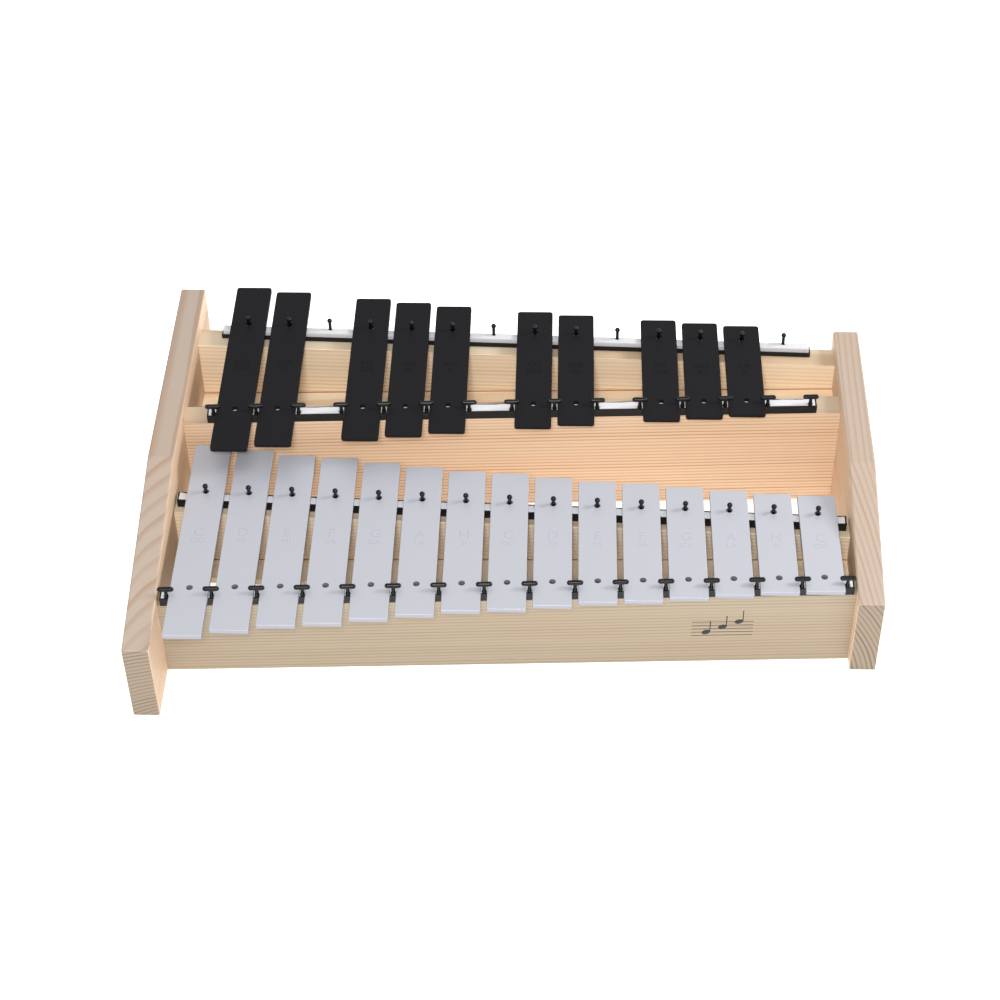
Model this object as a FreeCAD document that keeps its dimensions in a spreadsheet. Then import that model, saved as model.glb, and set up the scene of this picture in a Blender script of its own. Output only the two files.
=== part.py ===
import FreeCAD, Part
import math
import os
import Sketcher
from FreeCAD import Placement, Rotation, Vector

# Chromatic glockenspiel: two rows of flat metal bars on a trapezoid pine frame, in millimetres.
# X runs from the bass end (-) to the treble end (+), +Y away from the player, +Z up.
# The origin is the middle of the frame's bounding rectangle, on the surface that it stands on.

SIZES = {
    # bars: one stock for all of them, the length alone sets the note
    "bar_width": 25, "bar_thick": 3, "bar_gap": 4.1, "longest_bar": 175, "edge_round": 0.4,
    "natural_corner": 0.7, "accidental_corner": 2,
    # the rows: rear end of the longest natural to the accidentals' front rail,
    # then middle of the bars to the hole lines, at the first and the last natural
    "rows_clear": 10.198, "row_rise": 20,
    "natural_reach_bass": 44, "natural_reach_treble": 28.8, "natural_hole_shift": -2.1,
    "accidental_reach_bass": 45.5, "accidental_reach_treble": 30.3, "accidental_hole_shift": -0.3,
    # hold-down posts stand this far in front of the bars' front holes
    "natural_post_lead": 4.7, "accidental_post_lead": 1.5,
    # wooden frame
    "end_margin": 6.45, "board_thick": 17.5, "rail_thick": 17.5, "natural_rail_height": 62,
    "board_rise": 10, "nose_height": 63, "bend_behind_naturals": 55,
    "board_round": 1.2, "rail_round": 0.5,
    "bass_nose": 39.5, "bass_tail": 33.5, "treble_nose": 10, "treble_tail": 8.5,
    "natural_front_setback": 0.3, "natural_rear_setback": 3.9,
    "accidental_front_setback": 0.4, "accidental_rear_setback": 1,
    "dowel_dia": 8, "dowel_in_rail": 20, "dowel_in_board": 10, "dowel_low": 18, "dowel_apart": 28,
    # sloping floors of the two sound boxes
    "floor_thick": 5, "box_depth_bass": 45, "box_depth_treble": 21,
    "natural_floor_bass_width": 16, "natural_floor_slit": 388,
    # channel strips and their felts
    "strip_width": 8, "felt_top": 6.5, "channel_wall": 0.9, "channel_floor": 1,
    "wall_drop": 0.3, "rearmost_wall_drop": 3.2, "strip_end": 4.5, "felt_clear": 0.05,
    # guide pins and hold-down posts
    "foot_depth": 8, "pin_inset": 2, "pin_foot_dia": 2.8, "pin_dia": 2.3, "pin_ball_dia": 3.6,
    "pin_above_bar": 6.7, "hole_clear": 0.4,
    "post_inset": 2.3, "post_foot_dia": 3.2, "post_dia": 2.2, "post_skirt": 2.5, "post_play": 2,
    "head_length": 10.6, "head_dia": 3.2,
}

NATURALS = [("c", 0), ("d", 2), ("e", 4), ("f", 5), ("g", 7), ("a", 9), ("b", 11)]
ACCIDENTALS = [("cs", 1, 0.5), ("ds", 3, 1.5), ("fs", 6, 3.5), ("gs", 8, 4.5), ("as", 10, 5.5)]
OCTAVES = 2
FIRST_OCTAVE = 5
GAPS = 7 * OCTAVES
SEMITONES_TO_HALF_LENGTH = 24

doc = FreeCAD.newDocument("Glockenspiel")
sheet = doc.addObject("Spreadsheet::Sheet", "Sizes")
for row_number, (alias, number) in enumerate(SIZES.items(), start=1):
    sheet.set(f"A{row_number}", alias)
    sheet.set(f"B{row_number}", str(number))
    sheet.setAlias(f"B{row_number}", alias)
doc.recompute()

subparts = []


# ---- expressions on the sheet's cells -------------------------------------------------------

def cell(alias):
    return f"Sizes.{alias}"


PITCH = f"({cell('bar_width')} + {cell('bar_gap')})"
HALF_INSIDE = f"({GAPS + 1} / 2 * {PITCH} + {cell('end_margin')})"
BOARD_HEIGHT = f"({cell('natural_rail_height')} + {cell('row_rise')} + {cell('board_rise')})"


def along(slot):
    """X of a place counted in bar pitches, 0 at the first natural."""
    return f"({slot} - {GAPS} / 2) * {PITCH}"


def reach(row, slot):
    """Middle of the bars to the hole line at that slot: the lines draw together to the treble."""
    bass, treble = cell(f"{row}_reach_bass"), cell(f"{row}_reach_treble")
    return f"({bass} + ({treble} - {bass}) * {slot} / {GAPS})"


def reach_slope(row):
    return f"(({cell(row + '_reach_bass')} - {cell(row + '_reach_treble')}) / ({GAPS} * {PITCH}))"


def across(row, distance):
    """The distance along Y that puts a line of that row this far away, square to itself."""
    return f"(({distance}) / cos(atan({reach_slope(row)})))"


def middle_reach(row):
    return f"(({cell(row + '_reach_bass')} + {cell(row + '_reach_treble')}) / 2)"


def rail_top(row):
    if row == "natural":
        return cell("natural_rail_height")
    return f"({cell('natural_rail_height')} + {cell('row_rise')})"


def edge_offset(row, side):
    """Row's middle line to the line of its pins (rear) or posts (front), at X = 0."""
    shift = cell(f"{row}_hole_shift")
    if side == "rear":
        return f"({shift} + {middle_reach(row)})"
    return f"({shift} - {middle_reach(row)} - {cell(row + '_post_lead')})"


def inset(side):
    return cell("post_inset" if side == "front" else "pin_inset")


def rail_line(row, side, x, depth="0"):
    """Row's middle line to a line that deep inside the rail's outer face, at that X."""
    outward, turn = ("-", "+") if side == "front" else ("+", "-")
    out = across(row, f"{inset(side)} + {cell(f'{row}_{side}_setback')} - {depth}")
    return f"({edge_offset(row, side)} {outward} {out} {turn} {reach_slope(row)} * ({x}))"


ROW_SPACING = (f"({cell('longest_bar')} / 2 + {cell('rows_clear')} - "
               f"{rail_line('accidental', 'front', along(0))})")


def board_ends(end):
    """Front and rear end of a side board, from the naturals' middle line."""
    x = f"-{HALF_INSIDE}" if end == "bass" else HALF_INSIDE
    front = f"({rail_line('natural', 'front', x)} - {cell(end + '_nose')})"
    rear = f"({ROW_SPACING} + {rail_line('accidental', 'rear', x)} + {cell(end + '_tail')})"
    return front, rear


# Y = 0 is halfway from the bass board's front end to whatever reaches furthest back
BASS_FRONT, BASS_REAR = board_ends("bass")
LONGEST_ACCIDENTAL = f"({cell('longest_bar')} * 2 ^ (-1 / {SEMITONES_TO_HALF_LENGTH}))"
FURTHEST_BACK = f"max({BASS_REAR}; {ROW_SPACING} + {LONGEST_ACCIDENTAL} / 2)"
NATURAL_LINE = f"(-({BASS_FRONT} + {FURTHEST_BACK}) / 2)"
LINE = {"natural": NATURAL_LINE, "accidental": f"({NATURAL_LINE} + {ROW_SPACING})"}


def value(expression):
    result = sheet.evalExpression(expression)
    return float(getattr(result, "Value", result))


# ---- makers ---------------------------------------------------------------------------------

def bind(item, **expressions):
    for name, expression in expressions.items():
        item.setExpression(name, expression)


def move(item, x=None, y=None, z=None):
    for axis, expression in (("x", x), ("y", y), ("z", z)):
        if expression is not None:
            item.setExpression(f".Placement.Base.{axis}", expression)


def keep(item, name):
    item.Label = name
    subparts.append(item)
    return item


def body(name):
    item = doc.addObject("PartDesign::Body", name)
    item.AllowCompound = True
    return item


def origin_feature(owner, role):
    return next(f for f in owner.Origin.OriginFeatures if f.Role == role)


def sketch_on(owner, role, name):
    sketch = owner.newObject("Sketcher::SketchObject", name)
    sketch.AttachmentSupport = (origin_feature(owner, role), [""])
    sketch.MapMode = "FlatFace"
    return sketch


def place_point(sketch, geometry, point, name, across, up):
    """Ties a point of the sketch to two expressions."""
    for kind, axis, expression in (("DistanceX", "x", across), ("DistanceY", "y", up)):
        index = sketch.addConstraint(
            Sketcher.Constraint(kind, -1, 1, geometry, point, value(expression)))
        sketch.renameConstraint(index, f"{name}_{axis}")
        sketch.setExpression(f"Constraints.{name}_{axis}", expression)


def outline(sketch, corners):
    """A closed outline of straight lines whose corners are pairs of expressions."""
    points = [Vector(value(a), value(b), 0) for a, b in corners]
    count = len(points)
    for i in range(count):
        sketch.addGeometry(Part.LineSegment(points[i], points[(i + 1) % count]), False)
    for i in range(count):
        sketch.addConstraint(Sketcher.Constraint("Coincident", i, 2, (i + 1) % count, 1))
    for i, (across, up) in enumerate(corners):
        place_point(sketch, i, 1, f"corner{i + 1}", across, up)


def pad(owner, sketch, length, midplane=False):
    feature = owner.newObject("PartDesign::Pad", sketch.Name + "_pad")
    feature.Profile = sketch
    if midplane:
        feature.SideType = "Symmetric"
    bind(feature, Length=length)
    doc.recompute()
    return feature


def rounded(owner, base, label, edge_numbers, radius):
    """Rounds the numbered edges of a body's newest feature."""
    feature = owner.newObject("PartDesign::Fillet", f"{owner.Name}_{label}")
    feature.Base = (base, [f"Edge{number}" for number in edge_numbers])
    bind(feature, Radius=radius)
    doc.recompute()
    return feature


def edges_along_x(shape):
    return [number for number, edge in enumerate(shape.Edges, start=1)
            if edge.BoundBox.YLength < 1e-6 and edge.BoundBox.ZLength < 1e-6]


def upright_edges(shape):
    return [number for number, edge in enumerate(shape.Edges, start=1)
            if len(edge.Vertexes) == 2 and edge.BoundBox.XLength < 1e-6
            and edge.BoundBox.YLength < 1e-6]


def rim_edges(shape, height):
    """The outline at that height, without the rims of round holes."""
    return [number for number, edge in enumerate(shape.Edges, start=1)
            if len(edge.Vertexes) == 2
            and all(abs(vertex.Point.z - height) < 1e-6 for vertex in edge.Vertexes)]


def block(name, length, width, height, x, y, z):
    item = doc.addObject("Part::Box", name)
    bind(item, Length=length, Width=width, Height=height)
    move(item, x, y, z)
    return item


def cut(base, tool, name):
    item = doc.addObject("Part::Cut", name)
    item.Base = base
    item.Tool = tool
    return item


def set_on_rail(item, row, side):
    """Puts a piece made along X, about its pin or post line and from the rail's top, in place."""
    sign = "" if side == "front" else "-"
    item.Placement = Placement(Vector(0, 0, 0), Rotation(Vector(0, 0, 1), 1))
    move(item, y=f"{LINE[row]} + {edge_offset(row, side)}", z=rail_top(row))
    item.setExpression(".Placement.Rotation.Angle", f"{sign}atan({reach_slope(row)})")


# ---- bars -----------------------------------------------------------------------------------

def bar(name, row, semitone, slot):
    length = f"{cell('longest_bar')} * 2 ^ (-{semitone} / {SEMITONES_TO_HALF_LENGTH})"
    owner = body(name)
    sketch = sketch_on(owner, "XY_Plane", name + "_plan")
    half_width, half_length = f"{cell('bar_width')} / 2", f"({length}) / 2"
    outline(sketch, [(f"-{half_width}", f"-{half_length}"), (half_width, f"-{half_length}"),
                     (half_width, half_length), (f"-{half_width}", half_length)])
    radius = f"{cell('pin_ball_dia')} / 2 + {cell('hole_clear')}"
    for label, sign in (("front_hole", "-"), ("rear_hole", "+")):
        middle = f"{cell(row + '_hole_shift')} {sign} {reach(row, slot)}"
        centre = Vector(0, value(middle), 0)
        circle = sketch.addGeometry(Part.Circle(centre, Vector(0, 0, 1), value(radius)), False)
        place_point(sketch, circle, 3, label, "0", middle)
        index = sketch.addConstraint(Sketcher.Constraint("Radius", circle, value(radius)))
        sketch.renameConstraint(index, label + "_radius")
        sketch.setExpression(f"Constraints.{label}_radius", radius)
    plate = pad(owner, sketch, cell("bar_thick"))
    corners = rounded(owner, plate, "corners", upright_edges(plate.Shape), cell(row + "_corner"))
    top_edge = rim_edges(corners.Shape, value(cell("bar_thick")))
    rounded(owner, corners, "top_edge", top_edge, cell("edge_round"))
    move(owner, along(slot), LINE[row], f"{rail_top(row)} + {cell('felt_top')}")
    return keep(owner, name)


# ---- wooden frame ---------------------------------------------------------------------------

def side_board(end):
    name = f"{end}_side_board"
    front, rear = (f"({NATURAL_LINE} + {e})" for e in board_ends(end))
    # the top edge bends behind the naturals' middle line, at one place on both boards
    bend = f"({NATURAL_LINE} + {cell('bend_behind_naturals')})"
    owner = body(name + "_blank")
    sketch = sketch_on(owner, "YZ_Plane", name + "_side")
    outline(sketch, [(front, "0"), (rear, "0"), (rear, BOARD_HEIGHT), (bend, BOARD_HEIGHT),
                     (front, cell("nose_height"))])
    blank = pad(owner, sketch, cell("board_thick"))
    rounded(owner, blank, "edges", range(1, len(blank.Shape.Edges) + 1), cell("board_round"))
    x = f"-{HALF_INSIDE} - {cell('board_thick')}" if end == "bass" else HALF_INSIDE
    move(owner, x)
    return keep(cut(owner, dowels, name), name)


def rail(row, side, dowel_holes):
    """Made along its own line, with ends that meet the side boards squarely."""
    name = f"{row}_{side}_rail"
    outward = "-" if side == "front" else "+"
    turn = "+" if side == "front" else "-"
    near = f"({outward}({inset(side)} + {cell(name.replace('rail', 'setback'))}))"
    far = f"({near} - ({outward}{cell('rail_thick')}))"
    tilt = f"({turn}atan({reach_slope(row)}))"
    corners = [(f"(({end}{HALF_INSIDE}) + {v} * sin({tilt})) / cos({tilt})", v)
               for end, v in (("-", near), ("", near), ("", far), ("-", far))]
    owner = body(name + "_blank")
    sketch = sketch_on(owner, "XY_Plane", name + "_plan")
    outline(sketch, corners)
    blank = pad(owner, sketch, rail_top(row))
    rounded(owner, blank, "long_edges", edges_along_x(blank.Shape), cell("rail_round"))
    move(owner, z=f"-{rail_top(row)}")
    drilled = cut(owner, feet[row, side], name + "_drilled")
    set_on_rail(drilled, row, side)
    return keep(cut(drilled, dowel_holes, name), name)


def dowel_row():
    """Two dowels in each end of each rail, along X."""
    made = []
    for row in ("natural", "accidental"):
        for side in ("front", "rear"):
            for end in ("-", ""):
                middle = rail_line(row, side, f"{end}{HALF_INSIDE}", f"{cell('rail_thick')} / 2")
                y = f"{LINE[row]} + {middle}"
                inner = (f"-{HALF_INSIDE} - {cell('dowel_in_board')}" if end else
                         f"{HALF_INSIDE} - {cell('dowel_in_rail')}")
                for z in (cell("dowel_low"), f"{cell('dowel_low')} + {cell('dowel_apart')}"):
                    made.append(dowel(f"dowel{len(made) + 1}", inner, y, z))
    group = doc.addObject("Part::Compound", "frame_dowels")
    group.Links = made
    return keep(group, "frame_dowels")


def dowel(name, x, y, z):
    item = doc.addObject("Part::Cylinder", name)
    bind(item, Radius=f"{cell('dowel_dia')} / 2",
         Height=f"{cell('dowel_in_rail')} + {cell('dowel_in_board')}")
    item.Placement = Placement(Vector(0, 0, 0), Rotation(Vector(0, 1, 0), 90))
    move(item, x, y, z)
    return item


def sound_box_floor(row):
    """A board between the two rails of a row, higher at the treble end."""
    name = f"{row}_sound_box_floor"
    ends = [f"-{HALF_INSIDE}", HALF_INSIDE]

    def inner_face(side, x):
        return f"{LINE[row]} + {rail_line(row, side, x, cell('rail_thick'))}"

    corners = [(ends[1], inner_face("front", ends[1])), (ends[1], inner_face("rear", ends[1])),
               (ends[0], inner_face("rear", ends[0]))]
    if row == "natural":
        # a slit of daylight narrows from the bass end to nothing, between floor and front rail
        slit_end = f"({ends[0]} + {cell('natural_floor_slit')})"
        corners += [(ends[0], f"{corners[-1][1]} - {cell('natural_floor_bass_width')}"),
                    (slit_end, inner_face("front", slit_end))]
    else:
        corners.append((ends[0], inner_face("front", ends[0])))
    plan_body = body(name + "_plan")
    plan = sketch_on(plan_body, "XY_Plane", name + "_outline")
    outline(plan, corners)
    pad(plan_body, plan, rail_top(row))
    slab_body = body(name + "_slab")
    slope = sketch_on(slab_body, "XZ_Plane", name + "_slope")
    low = [f"{rail_top(row)} - {cell('box_depth_' + end)} - {cell('floor_thick')}"
           for end in ("bass", "treble")]
    outline(slope, [(ends[0], low[0]), (ends[1], low[1]),
                    (ends[1], f"{low[1]} + {cell('floor_thick')}"),
                    (ends[0], f"{low[0]} + {cell('floor_thick')}")])
    pad(slab_body, slope, f"4 * {ROW_SPACING}", midplane=True)
    board = doc.addObject("Part::Common", name)
    board.Base = plan_body
    board.Tool = slab_body
    return keep(board, name)


# ---- strips, pins and posts -----------------------------------------------------------------

def first_and_count(row, side):
    """Slot of the first pin or post, and how many there are, one at each pitch."""
    if side == "front":
        return ("-0.5", GAPS + 2) if row == "natural" else ("0", GAPS + 1)
    return ("0", GAPS + 1) if row == "natural" else ("0.5", GAPS)


def on_line(row, slot):
    """A place counted in bar pitches, measured along the slanting pin or post line."""
    return f"{along(slot)} / cos(atan({reach_slope(row)}))"


def repeated(owner, row, side, features):
    first, count = first_and_count(row, side)
    pattern = owner.newObject("PartDesign::LinearPattern", owner.Name + "_pattern")
    pattern.Originals = features
    pattern.Direction = (origin_feature(owner, "X_Axis"), [""])
    pattern.Occurrences = count
    bind(pattern, Length=f"{count - 1} * {PITCH} / cos(atan({reach_slope(row)}))")
    owner.Tip = pattern
    return owner


def turned(owner, kind, name, x, z, **sizes):
    """An additive round primitive of a pin or post, on its line."""
    feature = owner.newObject(f"PartDesign::Additive{kind}", name)
    bind(feature, **sizes)
    move(feature, x=x, z=z)
    return feature


def foot_tool(row, side):
    """The round holes that a row of pins or posts needs in its rail, channel and felt."""
    name = f"{row}_{side}_feet"
    owner = body(name)
    dia = cell("post_foot_dia" if side == "front" else "pin_foot_dia")
    x = on_line(row, first_and_count(row, side)[0])
    foot = turned(owner, "Cylinder", name + "_foot", x, f"-{cell('foot_depth')}",
                  Radius=f"{dia} / 2", Height=f"{cell('foot_depth')} + {cell('felt_top')}")
    return repeated(owner, row, side, [foot])


def guide_pins(row):
    """Ball-headed pins that the bars' rear holes drop over."""
    name = f"{row}_guide_pins"
    owner = body(name)
    x = on_line(row, first_and_count(row, "rear")[0])
    ball_radius = f"{cell('pin_ball_dia')} / 2"
    ball_middle = (f"({cell('felt_top')} + {cell('bar_thick')} + {cell('pin_above_bar')}"
                   f" - {ball_radius})")
    made = [
        turned(owner, "Cylinder", name + "_foot", x, f"-{cell('foot_depth')}",
               Radius=f"{cell('pin_foot_dia')} / 2",
               Height=f"{cell('foot_depth')} + {cell('felt_top')}"),
        turned(owner, "Cylinder", name + "_stem", x, "0",
               Radius=f"{cell('pin_dia')} / 2", Height=ball_middle),
        turned(owner, "Sphere", name + "_ball", x, ball_middle, Radius=ball_radius),
    ]
    set_on_rail(repeated(owner, row, "rear", made), row, "rear")
    return keep(owner, name)


def round_ended_head(owner, name, x, z):
    """A post's cross-head: a round bar along X with half-ball ends, turned about its own line."""
    sketch = sketch_on(owner, "XZ_Plane", name + "_head_profile")
    radius = f"{cell('head_dia')} / 2"
    tips = [f"({x} {sign} {cell('head_length')} / 2)" for sign in ("-", "+")]
    centres = [f"({x} {sign} ({cell('head_length')} / 2 - {radius}))" for sign in ("-", "+")]
    r, height = value(radius), value(z)
    for centre, start, end in ((centres[0], 90, 180), (centres[1], 0, 90)):
        circle = Part.Circle(Vector(value(centre), height, 0), Vector(0, 0, 1), r)
        sketch.addGeometry(Part.ArcOfCircle(circle, math.radians(start), math.radians(end)), False)
    top = [Vector(value(centre), height + r, 0) for centre in centres]
    low = [Vector(value(tip), height, 0) for tip in tips]
    sketch.addGeometry(Part.LineSegment(top[0], top[1]), False)
    sketch.addGeometry(Part.LineSegment(low[0], low[1]), False)
    sketch.addGeometry(Part.LineSegment(low[0], low[1]), True)
    for first, first_end, second, second_end in ((2, 1, 0, 1), (2, 2, 1, 2), (3, 1, 0, 2),
                                                 (3, 2, 1, 1), (4, 1, 0, 2), (4, 2, 1, 1)):
        sketch.addConstraint(Sketcher.Constraint("Coincident", first, first_end,
                                                 second, second_end))
    place_point(sketch, 3, 1, "left_tip", tips[0], z)
    place_point(sketch, 3, 2, "right_tip", tips[1], z)
    place_point(sketch, 2, 1, "top_left", centres[0], f"{z} + {radius}")
    place_point(sketch, 2, 2, "top_right", centres[1], f"{z} + {radius}")
    for arc, centre in enumerate(centres):
        index = sketch.addConstraint(
            Sketcher.Constraint("DistanceX", -1, 1, arc, 3, value(centre)))
        sketch.renameConstraint(index, f"arc{arc + 1}_middle")
        sketch.setExpression(f"Constraints.arc{arc + 1}_middle", centre)
    head = owner.newObject("PartDesign::Revolution", name + "_head")
    head.Profile = sketch
    head.ReferenceAxis = (sketch, ["Axis0"])
    head.Angle = 360
    doc.recompute()
    return head


def hold_down_posts(row):
    """T-headed posts between the bars' front ends, with the heads reaching over both bars."""
    name = f"{row}_hold_down_posts"
    owner = body(name)
    x = on_line(row, first_and_count(row, "front")[0])
    head_middle = (f"({cell('felt_top')} + {cell('bar_thick')} + {cell('post_play')}"
                   f" + {cell('head_dia')} / 2)")
    made = [
        turned(owner, "Cylinder", name + "_foot", x, f"-{cell('foot_depth')}",
               Radius=f"{cell('post_foot_dia')} / 2",
               Height=f"{cell('foot_depth')} + {cell('felt_top')}"),
        turned(owner, "Cone", name + "_skirt", x, cell("felt_top"),
               Radius1=f"{cell('post_foot_dia')} / 2", Radius2=f"{cell('post_dia')} / 2",
               Height=cell("post_skirt")),
        turned(owner, "Cylinder", name + "_stem", x, "0",
               Radius=f"{cell('post_dia')} / 2", Height=head_middle),
    ]
    made.append(round_ended_head(owner, name, x, head_middle))
    set_on_rail(repeated(owner, row, "front", made), row, "front")
    return keep(owner, name)


def strip(row, side):
    """A channel with closed ends on the rail's top, and the felt in it that the bars rest on."""
    name = f"{row}_{side}"
    front_first = first_and_count(row, "front")[0]
    half = f"(-({on_line(row, front_first)}) + {cell('strip_end')})"
    low = (f"-{inset(side)}" if side == "front" else
           f"({inset(side)} - {cell('strip_width')})")
    wall, floor = cell("channel_wall"), cell("channel_floor")
    drop = cell("rearmost_wall_drop" if name == "accidental_rear" else "wall_drop")
    outside = block(name + "_tray", f"2 * {half}", cell("strip_width"),
                    f"{cell('felt_top')} - {drop}", f"-{half}", low, "0")
    inside = block(name + "_hollow", f"2 * ({half} - {wall})",
                   f"{cell('strip_width')} - 2 * {wall}", cell("felt_top"),
                   f"-{half} + {wall}", f"{low} + {wall}", floor)
    channel = cut(cut(outside, inside, name + "_channel_blank"), feet[row, side],
                  name + "_channel")
    set_on_rail(channel, row, side)
    keep(channel, name + "_channel")
    lining = f"({wall} + {cell('felt_clear')})"
    blank = block(name + "_felt_blank", f"2 * ({half} - {lining})",
                  f"{cell('strip_width')} - 2 * {lining}",
                  f"{cell('felt_top')} - {floor}", f"-{half} + {lining}", f"{low} + {lining}",
                  floor)
    felt = cut(blank, feet[row, side], name + "_felt")
    set_on_rail(felt, row, side)
    keep(felt, name + "_felt")


# ---- the instrument -------------------------------------------------------------------------

EDGES = [(row, side) for row in ("natural", "accidental") for side in ("front", "rear")]
feet = {edge: foot_tool(*edge) for edge in EDGES}
dowels = dowel_row()
for board_end in ("bass", "treble"):
    side_board(board_end)
for edge in EDGES:
    rail(*edge, dowels)
    strip(*edge)
for bar_row in ("natural", "accidental"):
    sound_box_floor(bar_row)
    guide_pins(bar_row)
    hold_down_posts(bar_row)
for octave in range(OCTAVES):
    number = FIRST_OCTAVE + octave
    for slot_in_octave, (note, semitone) in enumerate(NATURALS):
        bar(f"bar_{note}{number}", "natural", semitone + 12 * octave, slot_in_octave + 7 * octave)
    for note, semitone, slot_in_octave in ACCIDENTALS:
        bar(f"bar_{note}{number}", "accidental", semitone + 12 * octave,
            slot_in_octave + 7 * octave)
bar(f"bar_c{FIRST_OCTAVE + OCTAVES}", "natural", 12 * OCTAVES, GAPS)

doc.recompute()
failed = [item.Label for item in doc.Objects if {"Invalid", "Error"} & set(item.State)]
failed += [item.Label for item in subparts if item.Shape.isNull() or not item.Shape.isValid()]
if failed:
    raise RuntimeError(f"these did not build: {failed}")
os.makedirs("parts", exist_ok=True)
for item in subparts:
    item.Shape.exportStep(os.path.join("parts", item.Label + ".step"))
box = Part.makeCompound([item.Shape for item in subparts]).BoundBox
print(f"{len(subparts)} sub-parts, X {box.XMin:.1f} to {box.XMax:.1f}, "
      f"Y {box.YMin:.1f} to {box.YMax:.1f}, Z {box.ZMin:.1f} to {box.ZMax:.1f}")
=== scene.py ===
import math

import bpy
from bpy.props import FloatProperty, FloatVectorProperty, PointerProperty
from mathutils import Matrix, Vector, noise


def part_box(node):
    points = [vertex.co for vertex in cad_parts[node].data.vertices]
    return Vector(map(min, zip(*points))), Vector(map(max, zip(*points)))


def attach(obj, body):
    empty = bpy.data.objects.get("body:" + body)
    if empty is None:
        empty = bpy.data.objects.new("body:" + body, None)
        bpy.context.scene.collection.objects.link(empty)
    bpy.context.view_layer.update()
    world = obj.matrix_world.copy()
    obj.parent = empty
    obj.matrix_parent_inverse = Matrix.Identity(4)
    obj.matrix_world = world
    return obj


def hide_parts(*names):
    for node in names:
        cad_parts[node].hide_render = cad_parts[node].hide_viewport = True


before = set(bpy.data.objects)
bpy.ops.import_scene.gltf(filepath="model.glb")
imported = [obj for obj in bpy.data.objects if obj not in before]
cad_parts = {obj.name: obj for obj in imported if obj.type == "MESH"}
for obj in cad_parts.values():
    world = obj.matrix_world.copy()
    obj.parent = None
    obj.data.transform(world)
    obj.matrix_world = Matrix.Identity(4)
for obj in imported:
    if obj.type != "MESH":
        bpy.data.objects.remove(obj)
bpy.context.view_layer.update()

bl_info = {
    "name": "Chromatic glockenspiel",
    "version": (1, 0, 0),
    "blender": (4, 5, 0),
    "location": "View3D > Sidebar > Glockenspiel",
    "description": "Finishes a two-row glockenspiel: pine, metal bars, felts and fittings",
    "category": "Object",
}

MM = 0.001
ROOT = "frame"
ROWS = ("natural", "accidental")
SIDES = ("front", "rear")
RAIL_SLANT = math.radians(2.137)    # how far the rails turn away from the X axis
CAP_SHARE = 0.69        # cap height of the built-in typeface, as a share of its size
GRAIN_STRETCH = 0.12    # noise across the board against noise along its fibres
FIBRE_STRETCH = 0.03
FACE_TURN = (0.7, 0.95)     # how far a normal leans towards an axis where a face begins
NOTE_NAMES = {"c": ("C", "DO"), "d": ("D", "RE"), "e": ("E", "MI"), "f": ("F", "FA"),
              "g": ("G", "SOL"), "a": ("A", "LA"), "b": ("H", "SI"), "cs": ("CIS", "DES"),
              "ds": ("DIS", "ES"), "fs": ("FIS", "GES"), "gs": ("GIS", "AS"), "as": ("AIS", "B")}


# ---- shader maths ---------------------------------------------------------------------------

class Value:
    """A socket of a shader tree. Operators on it add Math nodes, or Vector Math for vectors."""

    def __init__(self, finish, socket):
        self.finish = finish
        self.socket = socket

    def __add__(self, other):
        return self.finish.maths("ADD", self, other)

    def __radd__(self, other):
        return self.finish.maths("ADD", other, self)

    def __sub__(self, other):
        return self.finish.maths("SUBTRACT", self, other)

    def __rsub__(self, other):
        return self.finish.maths("SUBTRACT", other, self)

    def __mul__(self, other):
        return self.finish.maths("MULTIPLY", self, other)

    def __rmul__(self, other):
        return self.finish.maths("MULTIPLY", other, self)

    def __truediv__(self, other):
        return self.finish.maths("DIVIDE", self, other)

    def __rtruediv__(self, other):
        return self.finish.maths("DIVIDE", other, self)

    def __abs__(self):
        return self.finish.maths("ABSOLUTE", self)

    def floor(self):
        return self.finish.maths("FLOOR", self)

    def fraction(self):
        return self.finish.maths("FRACT", self)

    def is_vector(self):
        return self.socket.type == "VECTOR"


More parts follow.
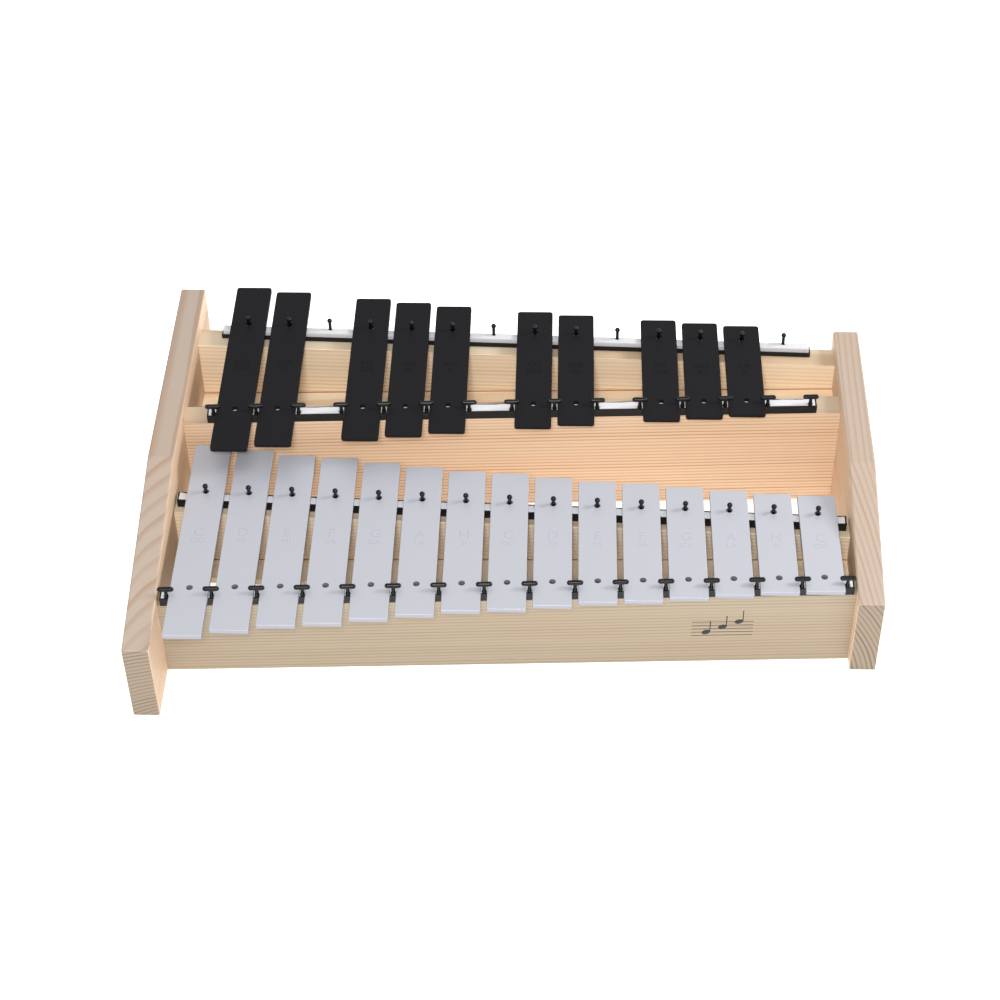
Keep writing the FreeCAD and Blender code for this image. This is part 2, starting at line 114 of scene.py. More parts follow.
class Finish:
    """One material. node() adds any node, plug() feeds a socket of the Principled shader."""

    def __init__(self, name, **fixed):
        self.material = bpy.data.materials.new(name)
        self.material.use_nodes = True
        self.tree = self.material.node_tree
        self.shader = self.tree.nodes["Principled BSDF"]
        for socket, number in fixed.items():
            self.shader.inputs[socket.replace("_", " ")].default_value = number

    def feed(self, value, socket):
        if isinstance(value, Value):
            self.tree.links.new(value.socket, socket)
        elif isinstance(value, (int, float)) and socket.type in ("VECTOR", "RGBA"):
            socket.default_value = [value] * len(socket.default_value)
        else:
            socket.default_value = value

    def plug(self, socket, value):
        self.feed(value, self.shader.inputs[socket])

    def node(self, kind, settings=None, values=None, output=0):
        """Adds a node: its settings first, then values or links for its sockets."""
        made = self.tree.nodes.new("ShaderNode" + kind)
        for setting, choice in (settings or {}).items():
            if setting == "stops":
                self.set_stops(made.color_ramp, choice)
            else:
                setattr(made, setting, choice)
        for socket, value in (values or {}).items():
            self.feed(value, made.inputs[socket])
        return Value(self, made.outputs[output])

    @staticmethod
    def set_stops(ramp, stops):
        while len(ramp.elements) < len(stops):
            ramp.elements.new(0.5)
        for element, (place, colour) in zip(ramp.elements, stops):
            element.position = place
            element.color = (*colour, 1)

    def maths(self, operation, *operands):
        vector = any(isinstance(o, Value) and o.is_vector() for o in operands)
        kind = "VectorMath" if vector else "Math"
        return self.node(kind, {"operation": operation}, dict(enumerate(operands)))

    def mix(self, factor, first, second, blend="MIX"):
        """A colour between two colours, or one laid over the other."""
        made = self.tree.nodes.new("ShaderNodeMix")
        made.data_type = "RGBA"
        made.blend_type = blend
        sockets = {s.identifier: s for s in made.inputs}
        for identifier, value in (("Factor_Float", factor), ("A_Color", first),
                                  ("B_Color", second)):
            if not isinstance(value, (Value, float, int)):
                value = (*value, 1)
            self.feed(value, sockets[identifier])
        return Value(self, next(o for o in made.outputs if o.identifier == "Result_Color"))

    def ramp(self, value, low, high):
        """0 below low, 1 above high, and a smooth step between."""
        return self.node("MapRange", {"interpolation_type": "SMOOTHSTEP"},
                         {"Value": value, "From Min": low, "From Max": high})

    def place(self):
        """The point on the piece, in metres in the object's own frame."""
        return self.node("TexCoord", output="Object")

    def parts(self, vector):
        return [self.node("SeparateXYZ", values={"Vector": vector}, output=i) for i in range(3)]

    def along(self, axis, distance):
        """A step of that length along an axis."""
        return self.node("VectorMath", {"operation": "SCALE"}, {0: axis, "Scale": distance})

    def measure(self, operation, first, second=0.0):
        """A vector operation that gives a number: a dot product, a distance or a length."""
        return self.node("VectorMath", {"operation": operation}, {0: first, 1: second}, output=1)

    def joined(self, x, y, z):
        return self.node("CombineXYZ", values={"X": x, "Y": y, "Z": z})

    def cloud(self, vector, scale, detail=2.0, rough=0.5):
        """Smooth noise from 0 to 1, with that many lumps in a metre."""
        return self.node("TexNoise", values={"Vector": vector, "Scale": scale, "Detail": detail,
                                             "Roughness": rough})

    def bump(self, height, strength, distance):
        self.plug("Normal", self.node("Bump", values={
            "Strength": strength, "Distance": distance, "Height": height}))


def linear(colour):
    """A colour as screens show it, in the linear values that shaders take."""
    return tuple(c / 12.92 if c <= 0.04045 else ((c + 0.055) / 1.055) ** 2.4 for c in colour)


def colour_property(name, description, shown):
    return FloatVectorProperty(name=name, description=description, subtype="COLOR", size=3,
                               min=0, max=1, default=linear(shown))


def length_property(name, description, default):
    return FloatProperty(name=name, description=description, default=default, min=0,
                         precision=5, unit="LENGTH")


# ---- what a user can change -----------------------------------------------------------------

class PineSettings(bpy.types.PropertyGroup):
    # The inner, middle, board and outer pairs are lit and shaded copies of the one pine: the inner
    # pair is lightened as painted light for the wood deep in the frame, the board and outer pairs
    # are darkened as painted shade for the faces that catch the lamps, and the middle pair lies
    # between.
    early: colour_property("Spring wood", "Colour of the pale part of a ring inside the frame",
                           (0.97, 0.90, 0.79))
    late: colour_property("Summer wood", "Colour of the dark edge of a ring inside the frame",
                          (0.86, 0.68, 0.49))
    outer_early: colour_property("Outer spring wood", "Colour of the pale part of an outer ring",
                                 (0.62, 0.57, 0.49))
    outer_late: colour_property("Outer summer wood", "Colour of the dark edge of an outer ring",
                                (0.47, 0.38, 0.29))
    middle_early: colour_property("Middle spring wood", "Colour of the pale wood of the middle "
                                  "rail and the boards' inward faces", (0.88, 0.78, 0.67))
    middle_late: colour_property("Middle summer wood", "Colour of the dark rings of the middle "
                                 "rail and the boards' inward faces", (0.72, 0.55, 0.40))
    board_early: colour_property("Board spring wood", "Colour of the side boards' pale wood",
                                 (0.68, 0.62, 0.565))
    board_late: colour_property("Board summer wood", "Colour of the side boards' dark rings",
                                (0.61, 0.50, 0.42))
    cut_end: colour_property("End grain", "Colour of the wood cut across its fibres",
                             (0.56, 0.50, 0.43))
    cut_late: colour_property("End rings", "Colour of the dark rings in the end grain",
                              (0.30, 0.23, 0.17))
    # painted shade: colour of the thin dark line in the crease where a floor meets its rear rail
    joint_shade: colour_property("Stain", "Colour of the joints between floors and rails",
                           (0.62, 0.36, 0.18))
    knot: colour_property("Knot", "Colour of the small knots", (0.48, 0.29, 0.18))
    ring: length_property("Ring width", "Width of one year's growth in the rails", 0.0029)
    wander: length_property("Wander", "How far the rings stray from true circles", 0.0013)
    roughness: FloatProperty(name="Roughness", description="Roughness of the matt lacquer",
                             default=0.55, min=0, max=1, subtype="FACTOR")


class BarSettings(bpy.types.PropertyGroup):
    silver: colour_property("Silver", "Colour of the natural bars", (0.73, 0.735, 0.765))
    sawn: colour_property("Sawn edge", "Colour of the natural bars' sawn ends and edges",
                          (0.50, 0.505, 0.54))
    black: colour_property("Black", "Colour of the accidental bars", (0.095, 0.09, 0.10))
    silver_letter: colour_property("Silver lettering", "Colour of the note names on silver",
                                   (0.645, 0.65, 0.69))
    black_letter: colour_property("Black lettering", "Colour of the note names on black",
                                  (0.075, 0.07, 0.08))
    name_height: length_property("Note name", "Height of the note's letter", 0.0075)
    syllable_height: length_property("Syllable", "Height of the second line", 0.0042)
    line_gap: length_property("Line gap", "Gap between the note name and its syllable", 0.002)
    relief: length_property("Relief", "How far the lettering stands out of the bar", 0.00005)


class FeltSettings(bpy.types.PropertyGroup):
    colour: colour_property("Felt", "Colour of the felt strips", (0.82, 0.82, 0.83))
    voxel: length_property("Mesh size", "Size of the mesh that the felt is made of", 0.00065)
    swell: length_property("Swell", "How far the felt swells up between the bars", 0.0004)
    fluff: length_property("Fluff", "How uneven the felt's surface is", 0.00016)


class MouldingSettings(bpy.types.PropertyGroup):
    nylon: colour_property("Nylon", "Colour of the guide pins and posts", (0.025, 0.025, 0.028))
    rubber: colour_property("Channel", "Colour of the channel strips", (0.07, 0.07, 0.075))
    ink: colour_property("Ink", "Colour of the printed sign", (0.06, 0.055, 0.05))


class StageSettings(bpy.types.PropertyGroup):
    camera_place: FloatVectorProperty(name="Camera place", description="Where the camera stands",
                                      subtype="TRANSLATION", unit="LENGTH", size=3,
                                      default=(0.0336, -1.0833, 1.1107))
    downward: FloatProperty(name="Downward", description="How far down the camera looks",
                            subtype="ANGLE", default=math.radians(44.675))
    turn: FloatProperty(name="Turn", description="How far right of straight ahead it looks",
                        subtype="ANGLE", default=math.radians(-2.184))
    roll: FloatProperty(name="Roll", description="How far the camera is tipped to one side",
                        subtype="ANGLE", default=math.radians(-0.975))
    lens: FloatProperty(name="Lens", description="Focal length for a 36 mm sensor",
                        default=79.92, min=1, unit="CAMERA")
    backdrop: colour_property("Backdrop", "Colour of the floor", (1.0, 1.0, 1.0))
    table_glow: FloatProperty(name="Table glow", description="How brightly the white table "
                              "shines through the open bottom", default=0.6, min=0)


SETTINGS = {"pine": PineSettings, "bars": BarSettings, "felt": FeltSettings,
            "mouldings": MouldingSettings, "stage": StageSettings}


def settings(name):
    return getattr(bpy.context.scene, "glockenspiel_" + name)


# ---- materials ------------------------------------------------------------------------------

def pine(name, along, pith, ring=1.0, contrast=1.0, wood_of="inner", shaded_top=False, inside=0,
         knots=(), joint=None, seed=0.0):
    """Pine sawn from a log whose heart runs along a direction through the point pith.

    ring scales the ring width and contrast the dark lines. wood_of picks the pair of colours, a
    lit or shaded copy of the one pine. A shaded top takes the outer pair as painted shade on the
    upward faces, and the face towards +X or -X, given by inside, the middle pair as painted light.
    knots are pairs of a point and a radius, and joint is the rear left corner of a board with a
    thin line of painted shade along its rear edge."""
    choice = settings("pine")
    early, late_colour = pine_colours(wood_of)
    wood = Finish(name, Roughness=choice.roughness, IOR=1.45, Specular_IOR_Level=0.35)
    axis = tuple(Vector(along).normalized())
    place = wood.place()
    from_pith = place - tuple(pith)
    run = wood.measure("DOT_PRODUCT", from_pith, axis)
    out = from_pith - wood.along(axis, run)
    # the noise is drawn out along the fibres
    drawn = out + wood.along(axis, run * GRAIN_STRETCH) + (seed, seed, seed)
    stray = (wood.cloud(drawn, 14, 3) - 0.5) * choice.wander * 4
    stray = stray + (wood.cloud(drawn, 90, 2) - 0.5) * choice.wander * 0.35
    rings = (wood.measure("LENGTH", out) + stray) / (choice.ring * ring)
    season = rings.fraction()
    chance = wood.node("TexWhiteNoise", {"noise_dimensions": "1D"}, {"W": rings.floor() + seed})
    late = wood.ramp(season, 0.40, 0.88) * (1 - wood.ramp(season, 0.90, 1.0))
    late = late * (0.45 + 0.55 * chance) * contrast
    colour = wood.mix(late, early, late_colour)
    normal = wood.node("TexCoord", output="Normal")
    if shaded_top:
        # painted shade: the faces that look up are darkened towards the outer pair
        top_shade = wood.ramp(wood.parts(normal)[2], *FACE_TURN) * 0.55
        colour = wood.mix(top_shade, colour, wood.mix(late, *pine_colours("outer")))
    if inside:
        # painted light: the face towards the middle of the frame is lightened with the middle pair
        inward = wood.ramp(wood.parts(normal)[0] * inside, *FACE_TURN)
        colour = wood.mix(inward, colour, wood.mix(late, *pine_colours("middle")))
    # warm and pale streaks along the board, and fine fibres
    streak = wood.cloud(drawn, 45, 3)
    colour = wood.mix((streak - 0.35) * 0.35, colour, linear((0.97, 0.80, 0.62)), "MULTIPLY")
    fibre = wood.cloud(out + wood.along(axis, run * FIBRE_STRETCH), 2200, 2, 0.6)
    colour = wood.mix((fibre - 0.45) * 0.28, colour, linear((0.80, 0.68, 0.55)), "MULTIPLY")
    cut = wood.ramp(abs(wood.measure("DOT_PRODUCT", normal, axis)), 0.75, 0.9)
    colour = wood.mix(cut, colour, wood.mix(late, choice.cut_end, choice.cut_late))
    if joint:
        # painted shade: a thin dark line along the floor's rear edge, in the crease against the
        # rail
        x, y = wood.parts(place)[:2]
        from_edge = joint[1] - (x - joint[0]) * math.tan(RAIL_SLANT) - y
        colour = wood.mix(wood.ramp(from_edge, 0.0014, 0.0005), colour, choice.joint_shade)
    for point, size in knots:
        apart = wood.measure("DISTANCE", place, point)
        colour = wood.mix(1 - wood.ramp(apart, 0.35 * size, size), colour, choice.knot)
    wood.plug("Base Color", colour)
    wood.bump(fibre * 0.6 + late * 0.8, 0.35, 0.00008)
    return wood.material


def pine_colours(wood_of):
    """Spring and summer wood for that part of the instrument; the pairs are copies of the one pine
    with painted light and shade.
    """
    choice = settings("pine")
    if wood_of == "inner":
        return choice.early, choice.late
    return getattr(choice, wood_of + "_early"), getattr(choice, wood_of + "_late")


def silver_finish():
    """Satin anodised aluminium: almost white, finely grained and hardly glossy."""
    choice = settings("bars")
    metal = Finish("silver_bar", Metallic=0.35, Roughness=0.42)
    place = metal.place()
    grain = metal.cloud(place, 2600, 2, 0.7)
    cloud = metal.cloud(place, 30, 3)
    colour = metal.mix(grain * 0.10 + cloud * 0.10, choice.silver, linear((0.68, 0.685, 0.72)))
    sawn = 1 - metal.ramp(metal.parts(metal.node("TexCoord", output="Normal"))[2], 0.4, 0.8)
    colour = metal.mix(sawn * 0.7, colour, choice.sawn)
    metal.plug("Base Color", colour)
    metal.plug("Roughness", 0.36 + 0.14 * cloud + 0.06 * grain)
    metal.bump(grain, 0.25, 0.00002)
    return metal.material


def black_finish():
    """Matt black paint with a fine orange-peel grain."""
    choice = settings("bars")
    paint = Finish("black_bar", Roughness=0.6, Specular_IOR_Level=0.10)
    place = paint.place()
    grain = paint.cloud(place, 1900, 3, 0.65)
    cloud = paint.cloud(place, 26, 3)
    colour = paint.mix(cloud * 0.35, choice.black, linear((0.11, 0.105, 0.12)))
    paint.plug("Base Color", colour)
    paint.plug("Roughness", 0.44 + 0.10 * cloud + 0.10 * grain)
    paint.bump(grain, 0.35, 0.00004)
    return paint.material


def moulded(name, colour, roughness, grain_size, grain_depth):
    """Moulded plastic or rubber with a fine skin."""
    plastic = Finish(name, Specular_IOR_Level=0.3)
    place = plastic.place()
    grain = plastic.cloud(place, 1 / grain_size, 2, 0.6)
    patch = plastic.cloud(place, 120, 2)
    plastic.plug("Base Color", plastic.mix(patch * 0.4, colour, [c * 1.6 for c in colour]))
    plastic.plug("Roughness", roughness - 0.06 + 0.12 * grain)
    plastic.bump(grain, 0.3, grain_depth)
    return plastic.material


def felt_finish():
    """Pressed white wool: matted fibres in all directions."""
    choice = settings("felt")
    wool = Finish("felt", Roughness=0.95, Specular_IOR_Level=0.1, Sheen_Weight=0.5,
                  Sheen_Roughness=0.5)
    place = wool.place()
    x, y, z = wool.parts(place)
    strands = [wool.cloud(wool.joined(x * a, y * b, z), 900, 3, 0.7)
               for a, b in ((0.25, 1.0), (1.0, 0.3))]
    matted = wool.node("Math", {"operation": "MAXIMUM"}, {0: strands[0], 1: strands[1]})
    blotch = wool.cloud(place, 160, 3)
    colour = wool.mix(matted * 0.35, choice.colour, linear((0.70, 0.70, 0.72)))
    wool.plug("Base Color", wool.mix(blotch * 0.25, colour, linear((0.74, 0.74, 0.76))))
    wool.bump(matted + blotch * 0.5, 0.8, 0.00025)
    return wool.material


def plain(name, colour, roughness=0.5, specular=0.5):
    return Finish(name, Base_Color=(*colour, 1), Roughness=roughness,
                  Specular_IOR_Level=specular).material


def coat(node, material):
    """Gives a CAD piece its finish, in place of the one that it came with."""
    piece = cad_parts[node]
    if not piece.material_slots:
        piece.data.materials.append(material)
    for held in piece.material_slots:
        held.material = material


# ---- pieces ---------------------------------------------------------------------------------

def finish_rails():
    """Four pine rails: their rings are nearly level, so that their faces have long tight lines."""
    # the log's heart behind the rail's middle and above the table, ring width, contrast, seed
    hearts = {("natural", "front"): (-0.010, -0.085, 1.0, 0.55, 3.1),
              ("natural", "rear"): (0.020, 0.150, 1.1, 0.7, 7.7),
              ("accidental", "front"): (0.006, 0.230, 1.0, 1.0, 12.3),
              ("accidental", "rear"): (-0.015, -0.120, 1.2, 0.7, 19.1)}
    for (row, side), (aside, height, ring, contrast, seed) in hearts.items():
        node = f"{row}_{side}_rail"
        low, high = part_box(node)
        slant = RAIL_SLANT if side == "front" else -RAIL_SLANT
        along = (math.cos(slant), math.sin(slant), 0.006)
        middle = (0.0, (low.y + high.y) / 2 + aside, height)
        # Lit and shaded copies of the pine: the natural front rail takes the darkened outer pair
        # as painted shade, the rear rails the lightened inner pair as painted light, and the
        # accidental front rail the middle pair between them.
        wood_of = {"natural_front_rail": "outer", "accidental_front_rail": "middle"}.get(
            node, "inner")
        coat(node, pine(f"pine_{node}", along, middle, ring, contrast, wood_of, shaded_top=True,
                        seed=seed))


def finish_side_boards():
    """Two side boards, with the log's rings level in the bass one and steep in the treble one."""
    # The boards take the board pair, darkened as painted shade, and their inward faces the lighter
    # middle pair as painted light.
    low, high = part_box("bass_side_board")
    top_knot = (low.x + 0.010, -0.045, high.z - 0.008)
    coat("bass_side_board", pine(
        "pine_bass_side_board", (0.01, 1, 0.004), (low.x + 0.045, 0, -0.07), ring=1.05,
        contrast=0.65, wood_of="board", inside=1, knots=((top_knot, 0.0011),), seed=23.5))
    low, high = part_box("treble_side_board")
    edge_knot = (low.x + 0.001, -0.025, high.z - 0.012)
    coat("treble_side_board", pine(
        "pine_treble_side_board", (0.004, 1, 0.004), (low.x - 0.12, 0, -0.03), ring=1.05,
        contrast=0.8, wood_of="board", inside=-1, knots=((edge_knot, 0.0008),), seed=31.9))


def finish_floors():
    """The sound boxes' floors: boards sawn near the heart, with broad figure; and the dowels."""
    for row, height, seed in (("natural", 0.050, 41.0), ("accidental", 0.085, 47.5)):
        node = f"{row}_sound_box_floor"
        low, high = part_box(node)
        # joint puts painted shade along each floor's rear edge, where it meets the rear rail
        coat(node, pine(f"pine_{node}", (1, 0.02, 0.055), (0, (low.y + high.y) / 2 + 0.01, height),
                        ring=2.2, contrast=0.45, joint=(low.x, high.y), seed=seed))
    low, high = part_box("frame_dowels")
    coat("frame_dowels", pine("beech_dowels", (1, 0, 0), (0, low.y, low.z - 0.05), ring=0.6,
                              contrast=0.4, seed=53.0))


def finish_bars():
    """Fifteen silver bars and ten black ones."""
    silver, black = silver_finish(), black_finish()
    for node in bar_nodes():
        coat(node, black if is_accidental(node) else silver)


def bar_nodes():
    return sorted(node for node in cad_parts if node.startswith("bar_"))


def note_of(node):
    return node[len("bar_"):-1]


def is_accidental(node):
    return note_of(node).endswith("s")


def letter_bars():
    """Note names in low relief on the bars, a letter with its syllable under it."""
    choice = settings("bars")
    inks = {False: plain("lettering_silver", choice.silver_letter, 0.5),
            True: plain("lettering_black", choice.black_letter, 0.5, 0.08)}
    for node in bar_nodes():
        low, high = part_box(node)
        middle = Vector(((low.x + high.x) / 2, (low.y + high.y) / 2, high.z))
        name, syllable = NOTE_NAMES[note_of(node)]
        heights = (choice.name_height, choice.syllable_height)
        if is_accidental(node):
            heights = (choice.syllable_height * 1.15, choice.syllable_height)
        lines = [text_mesh(name, heights[0], middle + Vector((0, choice.line_gap * 0.3, 0))),
                 text_mesh(syllable, heights[1],
                           middle + Vector((0, -choice.line_gap * 0.7 - heights[1], 0)))]
        piece = joined_piece("lettering_" + node[len("bar_"):], lines,
                             inks[is_accidental(node)])
        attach(piece, node)


def text_mesh(words, height, place):
    """Lettering of that cap height, standing on its base line at a place, in low relief."""
    relief = settings("bars").relief
    curve = bpy.data.curves.new("lettering", "FONT")
    curve.body = words
    curve.align_x = "CENTER"
    curve.size = height / CAP_SHARE
    curve.extrude = relief
    curve.resolution_u = 3
    maker = bpy.data.objects.new("lettering", curve)
    bpy.context.scene.collection.objects.link(maker)
    bpy.context.view_layer.update()
    mesh = bpy.data.meshes.new_from_object(maker.evaluated_get(evaluated()))
    mesh.transform(Matrix.Translation(place))
    bpy.data.objects.remove(maker)
    bpy.data.curves.remove(curve)
    return mesh


def evaluated():
    return bpy.context.evaluated_depsgraph_get()


def joined_piece(name, meshes, material):
    """One object of several meshes."""
    vertices, faces = [], []
    for mesh in meshes:
        start = len(vertices)
        vertices += [vertex.co.copy() for vertex in mesh.vertices]
        faces += [[start + corner for corner in face.vertices] for face in mesh.polygons]
        bpy.data.meshes.remove(mesh)
    made = bpy.data.meshes.new(name)
    made.from_pydata(vertices, [], faces)
    made.validate()
    made.materials.append(material)
    piece = bpy.data.objects.new(name, made)
    bpy.context.scene.collection.objects.link(piece)
    return piece


def make_felts():
    """Felt strips with soft edges, pressed flat under the bars and swollen between them."""
    wool = felt_finish()
    bars = [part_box(node) for node in bar_nodes()]
    for row in ROWS:
        over = [(low, high) for low, high in bars
                if abs(low.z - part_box(f"{row}_front_felt")[1].z) < MM]
        for side in SIDES:
            node = f"{row}_{side}_felt"
            piece = soft_copy(node)
            piece.data.materials.clear()
            piece.data.materials.append(wool)
            shape_felt(piece.data, over)
            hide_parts(node)
            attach(piece, ROOT)


def soft_copy(node):
    """The CAD solid as an even mesh with rounded edges."""
    choice = settings("felt")
    maker = bpy.data.objects.new("maker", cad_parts[node].data.copy())
    bpy.context.scene.collection.objects.link(maker)
    weld = maker.modifiers.new("weld", "WELD")
    weld.merge_threshold = 0.00001
    remesh = maker.modifiers.new("remesh", "REMESH")
    remesh.mode = "VOXEL"
    remesh.voxel_size = choice.voxel
    soften = maker.modifiers.new("soften", "SMOOTH")
    soften.iterations = 3
    soften.factor = 0.5
    bpy.context.view_layer.update()
    mesh = bpy.data.meshes.new_from_object(maker.evaluated_get(evaluated()))
    bpy.data.objects.remove(maker)
    mesh.name = node + "_wool"
    for polygon in mesh.polygons:
        polygon.use_smooth = True
    piece = bpy.data.objects.new(node + "_wool", mesh)
    bpy.context.scene.collection.objects.link(piece)
    return piece


def shape_felt(mesh, bars):
    """Swells the felt between the bars and roughens it with matted lumps."""
    choice = settings("felt")
    coarse, fine = 420, 1300        # lumps in a metre
    top = max(vertex.co.z for vertex in mesh.vertices)
    bottom = min(vertex.co.z for vertex in mesh.vertices)
    normals = [vertex.normal.copy() for vertex in mesh.vertices]
    for vertex, normal in zip(mesh.vertices, normals):
        place = vertex.co.copy()
        lump = noise.noise(place * coarse) * 0.6 + noise.noise(place * fine) * 0.4
        share = (place.z - bottom) / (top - bottom)
        if share > 0.5:
            vertex.co += normal * lump * choice.fluff
            vertex.co.z += swell(place, bars) * choice.swell * (share - 0.5) * 2
        vertex.co.z = min(vertex.co.z, limit(place, bars, top))


def swell(place, bars):
    """1 between two bars, falling to nothing at their edges."""
    reach = 0.004
    return min(1.0, gap_to_bars(place, bars) / reach)


def gap_to_bars(place, bars):
    """How far a point is from the nearest bar above it, measured along the row."""
    return min(max(low.x - place.x, place.x - high.x, 0.0) for low, high in bars)


def limit(place, bars, top):
    """The felt stays under the bars that rest on it."""
    clear, margin = 0.00003, 0.0002
    return top - clear if gap_to_bars(place, bars) <= margin else math.inf


def finish_mouldings():
    """Black channels, guide pins and hold-down posts."""
    choice = settings("mouldings")
    nylon = moulded("nylon", choice.nylon, 0.34, 0.0008, 0.00002)
    rubber = moulded("channel_rubber", choice.rubber, 0.55, 0.0005, 0.00004)
    for row in ROWS:
        coat(f"{row}_guide_pins", nylon)
        coat(f"{row}_hold_down_posts", nylon)
        for side in SIDES:
            coat(f"{row}_{side}_channel", rubber)


def print_sign():
    """A small printed sign on the front rail: a stave with three notes on it."""
    ink = plain("ink", settings("mouldings").ink, 0.45)
    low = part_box("natural_front_rail")[0]
    width, line_gap, line = 0.040, 0.0032, 0.0005
    note_gap, stem, stem_width, thick = 0.0105, 0.0104, 0.0007, 0.00003
    middle = Vector((0.140, 0, 0.032))
    shapes = [rectangle(0, (i - 2) * line_gap, width, line) for i in range(5)]
    for i, level in enumerate((-1.0, 0.5, 2.0)):
        x, z = (i - 1) * note_gap, level * line_gap
        shapes.append(ellipse(x, z, 0.0029, 0.0021, math.radians(22)))
        shapes.append(rectangle(x + 0.0025, z + stem / 2, stem_width, stem))
    vertices, faces = [], []
    for shape in shapes:
        start, count = len(vertices), len(shape)
        for depth in (-thick, thick):
            for x, z in shape:
                y = low.y + (middle.x + x - low.x) * math.tan(RAIL_SLANT) + depth
                vertices.append((middle.x + x, y, middle.z + z))
        faces.append([start + i for i in range(count)])
        faces.append([start + count + i for i in reversed(range(count))])
        faces += [[start + (i + 1) % count, start + i, start + count + i,
                   start + count + (i + 1) % count] for i in range(count)]
    mesh = bpy.data.meshes.new("printed_sign")
    mesh.from_pydata(vertices, [], faces)
    mesh.materials.append(ink)
    piece = bpy.data.objects.new("printed_sign", mesh)
    bpy.context.scene.collection.objects.link(piece)
    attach(piece, ROOT)


def rectangle(x, z, width, height):
    return [(x + sx * width / 2, z + sz * height / 2)
            for sx, sz in ((-1, -1), (1, -1), (1, 1), (-1, 1))]


def ellipse(x, z, across, up, tilt, corners=20):
    points = []
    for i in range(corners):
        angle = 2 * math.pi * i / corners
        a, b = across * math.cos(angle), up * math.sin(angle)
        points.append((x + a * math.cos(tilt) - b * math.sin(tilt),
                       z + a * math.sin(tilt) + b * math.cos(tilt)))
    return points


# ---- stage ----------------------------------------------------------------------------------

def make_floor():
    half = 6.0
    mesh = bpy.data.meshes.new("floor")
    mesh.from_pydata([(-half, -half, 0), (half, -half, 0), (half, half, 0), (-half, half, 0)],
                     [], [(0, 1, 2, 3)])
    choice = settings("stage")
    glow = Finish("light_table", Base_Color=(*choice.backdrop, 1), Roughness=0.9,
                  Emission_Color=(*choice.backdrop, 1), Emission_Strength=choice.table_glow)
    mesh.materials.append(glow.material)
    floor = bpy.data.objects.new("floor", mesh)
    floor.location.z = -0.0003
    bpy.context.scene.collection.objects.link(floor)


def make_light(name, place, size, power):
    """A square soft box that looks at the middle of the instrument."""
    lamp = bpy.data.lights.new(name, "AREA")
    lamp.shape = "SQUARE"
    lamp.size = size
    lamp.energy = power
    holder = bpy.data.objects.new(name, lamp)
    holder.location = place
    holder.rotation_euler = (Vector((0, 0, 0.05)) - Vector(place)).to_track_quat(
        "-Z", "Y").to_euler()
    bpy.context.scene.collection.objects.link(holder)


def make_camera():
    choice = settings("stage")
    down, turn, roll = choice.downward, choice.turn, choice.roll
    ahead = Vector((math.sin(turn) * math.cos(down), math.cos(turn) * math.cos(down),
                    -math.sin(down)))
    level = Vector((math.cos(turn), -math.sin(turn), 0))
    upright = level.cross(ahead)
    right = math.cos(roll) * level + math.sin(roll) * upright
    up = math.cos(roll) * upright - math.sin(roll) * level
    lens = bpy.data.cameras.new("camera")
    lens.lens = choice.lens
    lens.sensor_width = 36
    lens.clip_start = 0.05
    camera = bpy.data.objects.new("camera", lens)
    camera.matrix_world = Matrix.Translation(choice.camera_place) @ Matrix(
        (right, up, -ahead)).transposed().to_4x4()
    bpy.context.scene.collection.objects.link(camera)
    bpy.context.scene.camera = camera


def make_world():
    world = bpy.data.worlds.new("studio")
    world.use_nodes = True
    background = world.node_tree.nodes["Background"]
    background.inputs["Color"].default_value = (1, 1, 1, 1)
    background.inputs["Strength"].default_value = 0.7
    bpy.context.scene.world = world


def set_stage():
    """A glowing white floor, a white room, soft boxes at the right and front, and the camera."""
    make_floor()
    make_world()
    make_light("key", (1.3, 0.3, 0.95), 0.45, 16)
    make_light("front", (-0.02, -1.2, 1.3), 0.25, 19)
    make_camera()
    bpy.context.scene.view_settings.view_transform = "Standard"


# ---- the add-on -----------------------------------------------------------------------------

class GLOCKENSPIEL_OT_rails(bpy.types.Operator):
    """Finish the four pine rails"""
    bl_idname = "glockenspiel.rails"
    bl_label = "Rails"

    def execute(self, context):
        finish_rails()
        return {"FINISHED"}


class GLOCKENSPIEL_OT_side_boards(bpy.types.Operator):
    """Finish the two pine side boards"""
    bl_idname = "glockenspiel.side_boards"
    bl_label = "Side boards"

    def execute(self, context):
        finish_side_boards()
        return {"FINISHED"}


class GLOCKENSPIEL_OT_floors(bpy.types.Operator):
    """Finish the sound boxes' floors and the dowels"""
    bl_idname = "glockenspiel.floors"
    bl_label = "Floors and dowels"

    def execute(self, context):
        finish_floors()
        return {"FINISHED"}


class GLOCKENSPIEL_OT_bars(bpy.types.Operator):
    """Finish the silver and the black bars"""
    bl_idname = "glockenspiel.bars"
    bl_label = "Bars"

    def execute(self, context):
        finish_bars()
        return {"FINISHED"}


class GLOCKENSPIEL_OT_lettering(bpy.types.Operator):
    """Put the note names on the bars"""
    bl_idname = "glockenspiel.lettering"
    bl_label = "Lettering"

    def execute(self, context):
        letter_bars()
        return {"FINISHED"}


class GLOCKENSPIEL_OT_felts(bpy.types.Operator):
    """Make the felt strips that the bars rest on"""
    bl_idname = "glockenspiel.felts"
    bl_label = "Felts"

    def execute(self, context):
        make_felts()
        return {"FINISHED"}


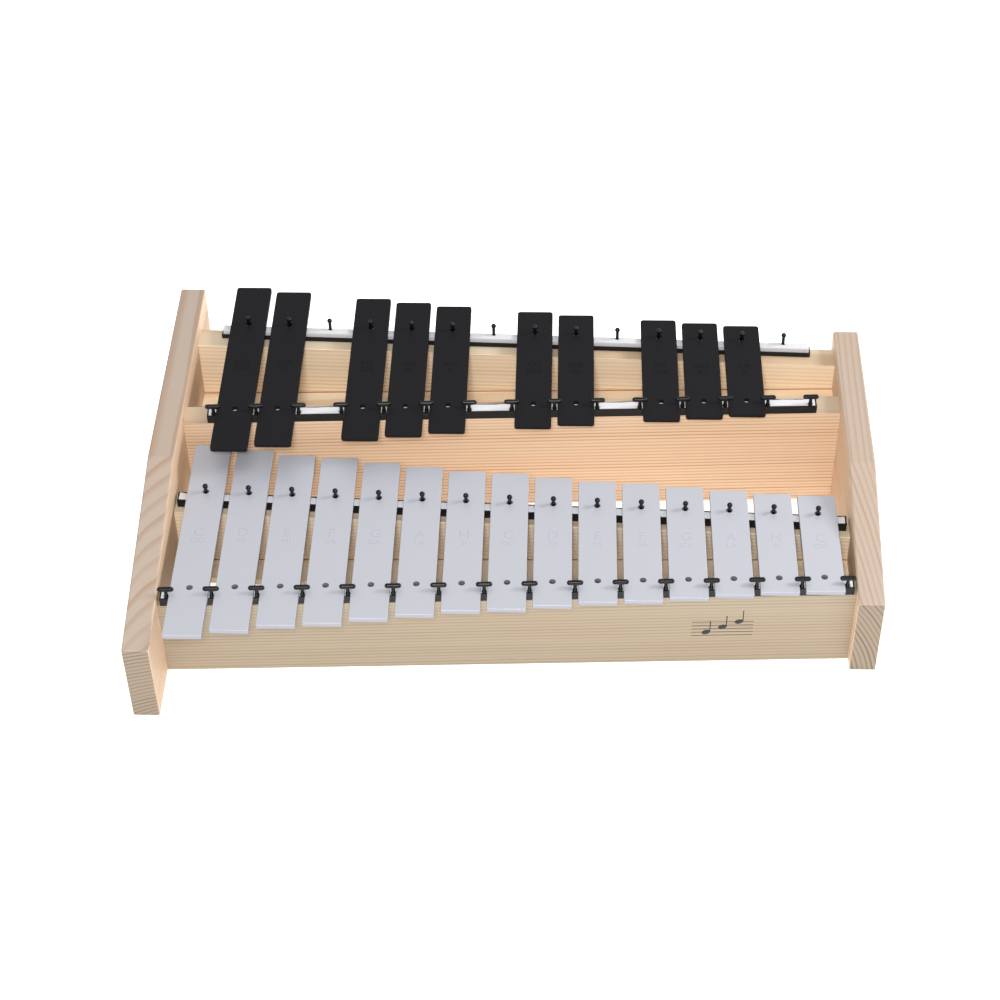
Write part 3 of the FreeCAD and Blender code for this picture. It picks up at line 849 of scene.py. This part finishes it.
class GLOCKENSPIEL_OT_mouldings(bpy.types.Operator):
    """Finish the channels, guide pins and hold-down posts"""
    bl_idname = "glockenspiel.mouldings"
    bl_label = "Channels, pins and posts"

    def execute(self, context):
        finish_mouldings()
        return {"FINISHED"}


class GLOCKENSPIEL_OT_sign(bpy.types.Operator):
    """Print the small stave on the front rail"""
    bl_idname = "glockenspiel.sign"
    bl_label = "Printed sign"

    def execute(self, context):
        print_sign()
        return {"FINISHED"}


class GLOCKENSPIEL_OT_stage(bpy.types.Operator):
    """Set the floor, the lights and the camera"""
    bl_idname = "glockenspiel.stage"
    bl_label = "Stage"

    def execute(self, context):
        set_stage()
        return {"FINISHED"}


OPERATORS = (GLOCKENSPIEL_OT_rails, GLOCKENSPIEL_OT_side_boards, GLOCKENSPIEL_OT_floors,
             GLOCKENSPIEL_OT_bars, GLOCKENSPIEL_OT_lettering, GLOCKENSPIEL_OT_felts,
             GLOCKENSPIEL_OT_mouldings, GLOCKENSPIEL_OT_sign, GLOCKENSPIEL_OT_stage)


class GLOCKENSPIEL_PT_panel(bpy.types.Panel):
    """Lists the steps that make the glockenspiel"""
    bl_idname = "GLOCKENSPIEL_PT_panel"
    bl_label = "Glockenspiel"
    bl_space_type = "VIEW_3D"
    bl_region_type = "UI"
    bl_category = "Glockenspiel"

    def draw(self, context):
        for operator in OPERATORS:
            self.layout.operator(operator.bl_idname)
        for name, group in SETTINGS.items():
            box = self.layout.box()
            for key in group.__annotations__:
                box.prop(settings(name), key)


CLASSES = (*SETTINGS.values(), *OPERATORS, GLOCKENSPIEL_PT_panel)


def register():
    for item in CLASSES:
        bpy.utils.register_class(item)
    for name, group in SETTINGS.items():
        setattr(bpy.types.Scene, "glockenspiel_" + name, PointerProperty(type=group))


def unregister():
    for name in SETTINGS:
        delattr(bpy.types.Scene, "glockenspiel_" + name)
    for item in reversed(CLASSES):
        bpy.utils.unregister_class(item)


def main():
    register()
    for operator in OPERATORS:
        family, step = operator.bl_idname.split(".")
        getattr(getattr(bpy.ops, family), step)()


if __name__ == "__main__":
    main()
